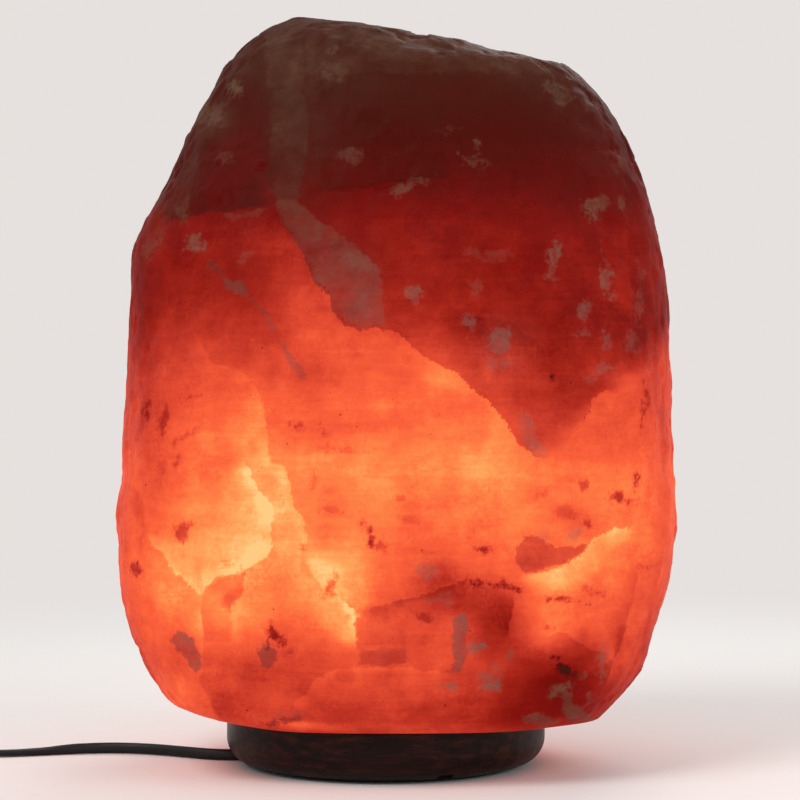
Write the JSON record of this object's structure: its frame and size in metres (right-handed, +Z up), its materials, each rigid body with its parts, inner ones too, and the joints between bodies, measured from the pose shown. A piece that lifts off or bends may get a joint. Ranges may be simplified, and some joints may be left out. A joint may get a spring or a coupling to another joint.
{
  "type": "salt crystal lamp",
  "caption": "Glowing rock-salt crystal on a round dark wooden base, with a clip-in lamp holder, candle bulb, black cord, in-line thumbwheel dimmer and flat plug.",
  "frame": {"origin": "axis of the round wooden base, at the floor the felt ring stands on", "axes": "+Z up, -Y the front of the lamp, -X the side where the cord leaves"},
  "size_m": [0.5735, 0.2337, 0.4],
  "materials": {
    "rock_salt": "rough broken crystal faces, translucent, lit from inside",
    "turned_wood": "dark stained and waxed, satin",
    "felt": "pressed felt",
    "screw_steel": "yellow zinc plated",
    "nylon": "natural nylon",
    "holder_plastic": "black thermoset, satin",
    "block_ceramic": "unglazed steatite",
    "brass": "bare brass",
    "bronze": "phosphor bronze strip",
    "spring_steel": "bright spring steel",
    "core_insulation": "insulated cores",
    "lamp_cap": "plain aluminium",
    "black_glass": "black glass insulator",
    "solder": "tinned",
    "clear_glass": "clear",
    "filament_wire": "glowing tungsten",
    "lead_wire": "nickel wire",
    "cord_sheath": "black flat flexible cord, matt",
    "case_plastic": "black, fine spark texture",
    "wheel_plastic": "dark grey, satin",
    "board": "green lacquered board",
    "component_black": "moulded",
    "component_yellow": "yellow film capacitor",
    "copper_winding": "enamelled copper on iron dust",
    "plug_plastic": "black moulded, satin",
    "pin_plating": "nickel plated brass"
  },
  "bodies": {
    "cord_set": {"holder_cap": "holder_plastic", "holder_body": "holder_plastic", "contact_block": "block_ceramic", "terminals": "brass", "terminal_screws": "screw_steel", "shell_contact": "brass", "centre_contact": "bronze", "screw_shell": "brass", "supply_wires": "core_insulation", "cord_grip": "nylon", "spring_clip": "spring_steel", "clip_screws": "screw_steel", "cord_in_base": "cord_sheath", "lamp_cord": "cord_sheath", "dimmer_cord": "cord_sheath", "cord_coil": "cord_sheath", "plug_cord": "cord_sheath", "coil_tie": "case_plastic", "dimmer_bottom": "case_plastic", "dimmer_top": "case_plastic", "dimmer_screws": "screw_steel", "cord_bushes": "plug_plastic", "dimmer_board": "board", "potentiometer": "component_black", "dimmer_triac": "component_black", "dimmer_capacitor": "component_yellow", "dimmer_choke": "copper_winding", "plug_body": "plug_plastic", "plug_pins": "pin_plating", "pin_sleeves": "plug_plastic", "plug_boot": "plug_plastic"},
    "lamp_body": {"salt_crystal": "rock_salt", "wooden_base": "turned_wood", "felt_ring": "felt", "crystal_screws": "screw_steel", "screw_plugs": "nylon"},
    "bulb": {"bulb_cap": "lamp_cap", "bulb_insulator": "black_glass", "bulb_tip": "solder", "bulb_glass": "clear_glass", "bulb_stem": "clear_glass", "lead_wires": "lead_wire", "filament": "filament_wire"},
    "dimmer_wheel": {"dimmer_wheel": "wheel_plastic"}
  },
  "joints": [
    {"name": "lamp_lift", "type": "slide", "parent": "cord_set", "child": "lamp_body", "axis": [0, 0, 1], "range_m": [0, 0.15]},
    {"name": "bulb_unscrew", "type": "slide", "parent": "cord_set", "child": "bulb", "axis": [0, 0, 1], "range_m": [0, 0.026]},
    {"name": "dimmer_turn", "type": "hinge", "parent": "cord_set", "child": "dimmer_wheel", "pos_m": [-0.344, 0.035, 0.01], "axis": [0, 0, 1], "range_deg": [0, 270]}
  ]
}
